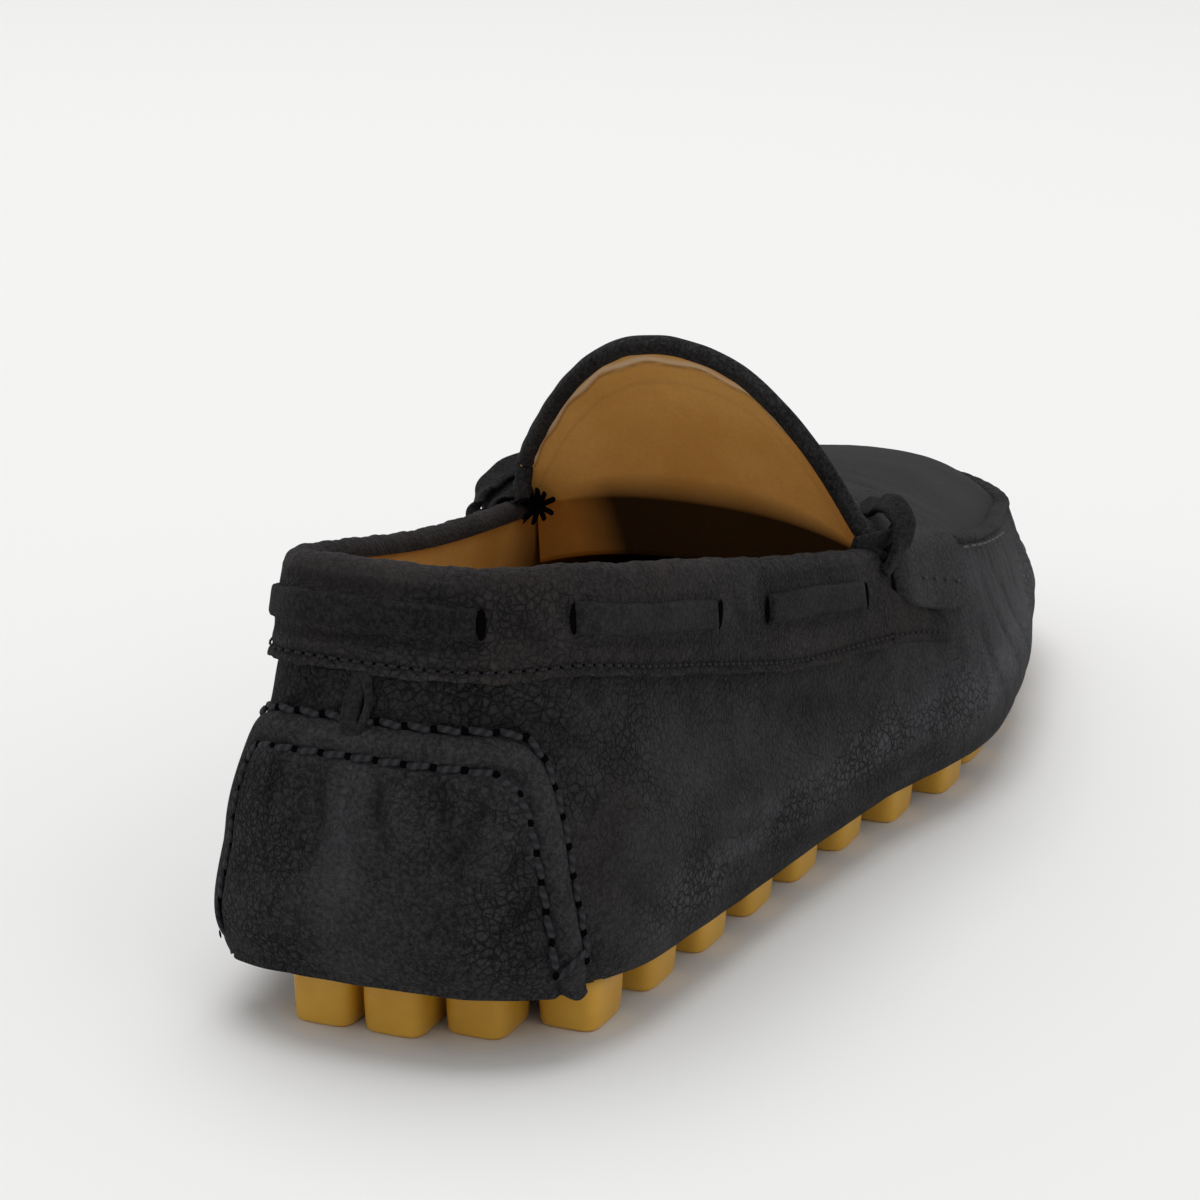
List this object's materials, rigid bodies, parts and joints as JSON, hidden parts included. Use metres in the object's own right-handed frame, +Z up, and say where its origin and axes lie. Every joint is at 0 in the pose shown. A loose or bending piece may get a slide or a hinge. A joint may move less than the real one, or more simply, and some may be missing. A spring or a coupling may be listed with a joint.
{
  "type": "shoe",
  "caption": "Right driving moccasin in black nubuck with a laced collar, a tan-lined tongue and a sole of gum rubber pegs",
  "frame": {"origin": "on the floor under the middle of the shoe's box", "axes": "+Y from heel to toe, +X to the wearer's outer side, +Z up from the floor"},
  "size_m": [0.099, 0.2898, 0.094],
  "materials": {
    "black_nubuck": "pebbled nubuck, near black",
    "collar_nubuck": "fine nubuck, near black",
    "lace_leather": "flat nubuck lace, near black",
    "tan_lining": "smooth tan lining leather",
    "gum_rubber": "satin honey-coloured gum rubber"
  },
  "bodies": {
    "root": {"apron": "black_nubuck", "back_tab": "black_nubuck", "collar_band": "collar_nubuck", "heel_patch": "black_nubuck", "insole": "tan_lining", "instep_strap": "black_nubuck", "lace_heel": "lace_leather", "lace_inner_back": "lace_leather", "lace_inner_front": "lace_leather", "lace_outer_back": "lace_leather", "lace_outer_front": "lace_leather", "outsole": "gum_rubber", "tongue": "black_nubuck", "upper": "black_nubuck", "vamp_seam": "black_nubuck"}
  },
  "joints": []
}
